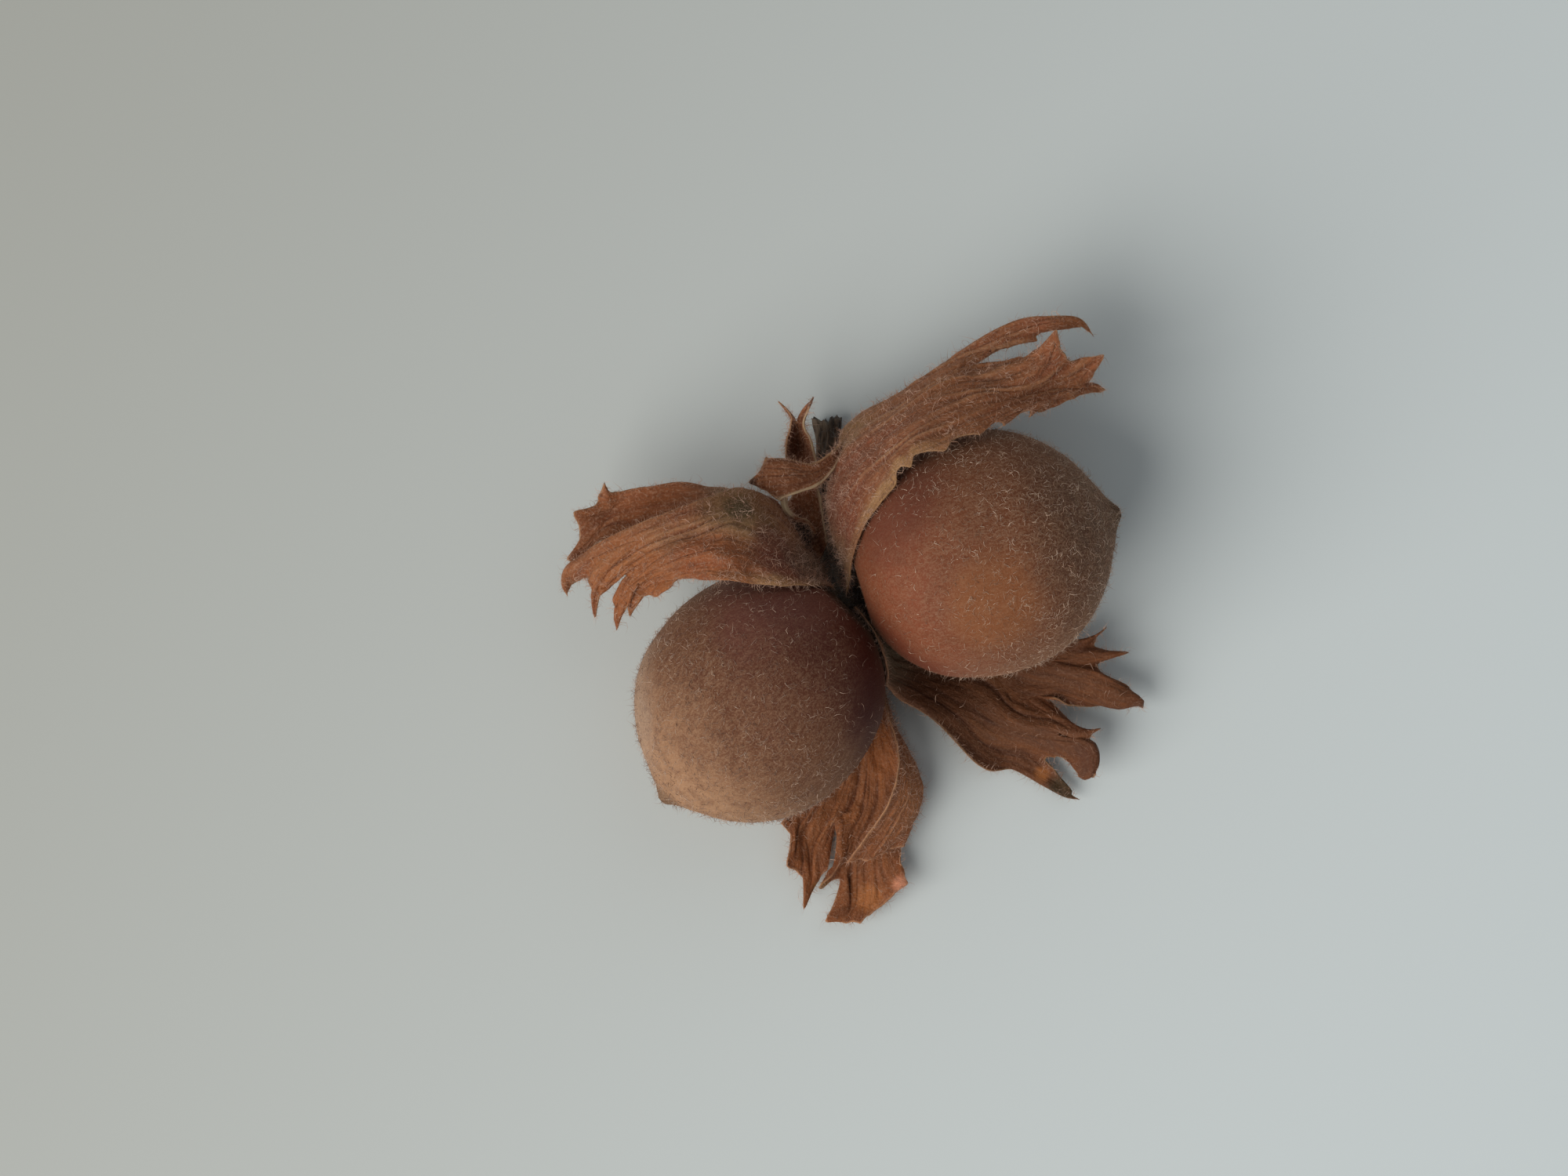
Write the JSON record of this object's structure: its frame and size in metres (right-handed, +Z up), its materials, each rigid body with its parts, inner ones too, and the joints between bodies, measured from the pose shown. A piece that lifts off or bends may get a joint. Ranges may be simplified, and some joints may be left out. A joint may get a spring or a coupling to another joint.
{
  "type": "hazelnut in husk",
  "caption": "Ripe hazelnuts in dried, lobed husk leaves, joined on a short stalk and lying on their sides, as picked; a natural prop for food, autumn and woodland scenes.",
  "frame": {"origin": "centre of the cluster's outline seen from above, on the surface it lies on", "axes": "+Z up; +X towards the tip side of the right-hand nut, which points 17 degrees off +X towards +Y; the other nut points along -X and -Y; the stalk's torn end lies towards +Y"},
  "size_m": [0.0428, 0.0447, 0.0181],
  "materials": {
    "shell": "matt with a fine pale down",
    "shell_dark": "matt with a fine pale down",
    "leaf_outer": "dry, papery and hairy",
    "leaf_inner": "dry and papery, with raised veins",
    "bark": "rough and woolly"
  },
  "bodies": {
    "root": {"nut_right": "shell", "nut_left": "shell_dark", "husk_right_upper": "leaf_outer", "husk_right_lower": "leaf_inner", "husk_left_upper": "leaf_outer", "husk_left_lower": "leaf_inner", "small_husk_upright": "leaf_outer", "small_husk_flap": "leaf_outer", "small_husk_inner": "leaf_inner", "stalk": "bark"}
  },
  "joints": []
}
